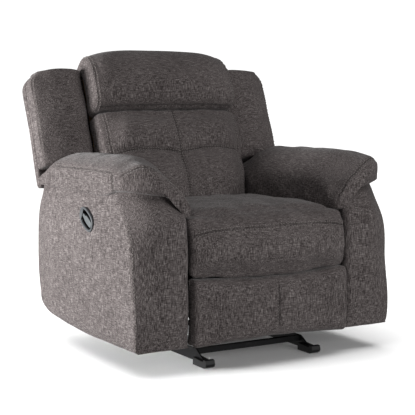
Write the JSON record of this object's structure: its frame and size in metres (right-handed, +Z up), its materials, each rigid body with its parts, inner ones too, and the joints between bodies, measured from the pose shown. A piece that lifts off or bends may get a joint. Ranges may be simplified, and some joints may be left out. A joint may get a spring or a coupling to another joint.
{
  "type": "recliner armchair",
  "caption": "Upholstered glider recliner with padded arms and headrest, a reclining back, a fold-out footrest, a side release handle and a black steel glide base.",
  "frame": {"origin": "on the floor, under the middle of the chair's box", "axes": "+X towards the sitter's left arm, -Y the front of the chair, +Z up"},
  "size_m": [1, 0.954, 1.0249],
  "materials": {
    "upholstery": "woven, heathered taupe grey",
    "timber": "raw plywood and pine",
    "black_steel": "black powder coat",
    "spring_steel": "bright drawn wire",
    "foot_plastic": "black moulded",
    "bezel_plastic": "grey moulded",
    "lever_plastic": "satin grey moulded",
    "cable_sheath": "black sheath over a steel cable"
  },
  "bodies": {
    "base": {"base_side_left": "black_steel", "base_side_right": "black_steel", "foot_cap_front_left": "foot_plastic", "foot_cap_front_right": "foot_plastic", "foot_cap_rear_left": "foot_plastic", "foot_cap_rear_right": "foot_plastic", "base_cross_tube_front": "black_steel", "base_cross_tube_rear": "black_steel"},
    "front_swing_links": {"swing_link_front_left": "black_steel", "swing_link_front_right": "black_steel"},
    "rear_swing_links": {"swing_link_rear_left": "black_steel", "swing_link_rear_right": "black_steel"},
    "carrier": {"carrier_plate_left": "black_steel", "carrier_plate_right": "black_steel", "arm_outer_panel_left": "upholstery", "arm_outer_panel_right": "upholstery", "arm_front_panel_left": "upholstery", "arm_front_panel_right": "upholstery", "arm_inner_panel_left": "upholstery", "arm_inner_panel_right": "upholstery", "arm_pad_left": "upholstery", "arm_pad_right": "upholstery", "carrier_rail_front": "timber", "carrier_rail_rear": "timber", "handle_bezel": "bezel_plastic", "release_cable": "cable_sheath", "rear_skirt": "upholstery"},
    "handle": {"handle_lever": "lever_plastic"},
    "latch": {"latch_pawl": "black_steel"},
    "seat": {"seat_plate_left": "black_steel", "seat_plate_right": "black_steel", "seat_spring_left": "spring_steel", "seat_spring_right": "spring_steel", "seat_rail_front": "timber", "seat_rail_rear": "timber", "seat_cushion": "upholstery"},
    "back": {"back_hinge_bracket_left": "black_steel", "back_hinge_bracket_right": "black_steel", "back_post_left": "timber", "back_post_right": "timber", "back_wing_left": "upholstery", "back_wing_right": "upholstery", "back_rail_bottom": "timber", "back_rail_top": "timber", "lumbar_cushion": "upholstery", "headrest_cushion": "upholstery", "back_rear_panel": "upholstery"},
    "cranks": {"crank_left": "black_steel", "crank_right": "black_steel", "torque_tube": "black_steel"},
    "carry_links": {"carry_link_left": "black_steel", "carry_link_right": "black_steel"},
    "follow_links": {"follow_link_left": "black_steel", "follow_link_right": "black_steel"},
    "tilt_links": {"tilt_link_left": "black_steel", "tilt_link_right": "black_steel"},
    "footrest": {"footrest_bracket_left": "black_steel", "footrest_bracket_right": "black_steel", "footrest_board": "timber", "footrest_pad": "upholstery"}
  },
  "joints": [
    {"name": "glide", "type": "hinge", "parent": "base", "child": "front_swing_links", "pos_m": [0, -0.16, 0.185], "axis": [-1, 0, 0], "range_deg": [-22, 22]},
    {"name": "carrier_level", "type": "hinge", "parent": "front_swing_links", "child": "carrier", "pos_m": [0, -0.16, 0.06], "axis": [-1, 0, 0], "range_deg": [-24, 24]},
    {"name": "rear_swing", "type": "hinge", "parent": "base", "child": "rear_swing_links", "pos_m": [0, 0.14, 0.185], "axis": [-1, 0, 0], "range_deg": [-24, 24]},
    {"name": "handle_pull", "type": "hinge", "parent": "carrier", "child": "handle", "pos_m": [-0.49, -0.07783, 0.4758], "axis": [0, 0.454, -0.891], "range_deg": [0, 30], "stiffness_Nm_per_rad": 0.6, "springref_deg": -20.05},
    {"name": "pawl_release", "type": "hinge", "parent": "seat", "child": "latch", "pos_m": [-0.261, -0.15, 0.13], "axis": [1, 0, 0], "range_deg": [0, 20]},
    {"name": "seat_slide", "type": "slide", "parent": "carrier", "child": "seat", "axis": [0, -1, 0], "range_m": [0, 0.04]},
    {"name": "back_recline", "type": "hinge", "parent": "seat", "child": "back", "pos_m": [0, 0.15185, 0.3], "axis": [-1, 0, 0], "range_deg": [0, 32]},
    {"name": "footrest_open", "type": "hinge", "parent": "seat", "child": "cranks", "pos_m": [0, -0.3021, 0.2599], "axis": [-1, 0, 0], "range_deg": [0, 125.4]},
    {"name": "carry_link_turn", "type": "hinge", "parent": "cranks", "child": "carry_links", "pos_m": [0, -0.19203, 0.11748], "axis": [-1, 0, 0], "range_deg": [-126.4, 1]},
    {"name": "follow_link_turn", "type": "hinge", "parent": "seat", "child": "follow_links", "pos_m": [0, -0.3454, 0.2849], "axis": [-1, 0, 0], "range_deg": [-1, 126.4]},
    {"name": "tilt_link_turn", "type": "hinge", "parent": "cranks", "child": "tilt_links", "pos_m": [0, -0.20647, 0.09349], "axis": [-1, 0, 0], "range_deg": [-120, 1]},
    {"name": "footrest_tilt", "type": "hinge", "parent": "carry_links", "child": "footrest", "pos_m": [0, -0.33492, 0.19998], "axis": [-1, 0, 0], "range_deg": [-1, 89]}
  ],
  "couplings": [
    {"joint": "carrier_level", "follows": "glide", "ratio": -1},
    {"joint": "rear_swing", "follows": "glide", "ratio": 1},
    {"joint": "pawl_release", "follows": "handle_pull", "ratio": 0.66667},
    {"joint": "seat_slide", "follows": "back_recline", "m_per_rad": 0.07162},
    {"joint": "carry_link_turn", "follows": "footrest_open", "ratio": -1},
    {"joint": "follow_link_turn", "follows": "footrest_open", "ratio": 1},
    {"joint": "tilt_link_turn", "follows": "footrest_open", "ratio": -0.94015},
    {"joint": "footrest_tilt", "follows": "footrest_open", "ratio": 0.70175}
  ]
}
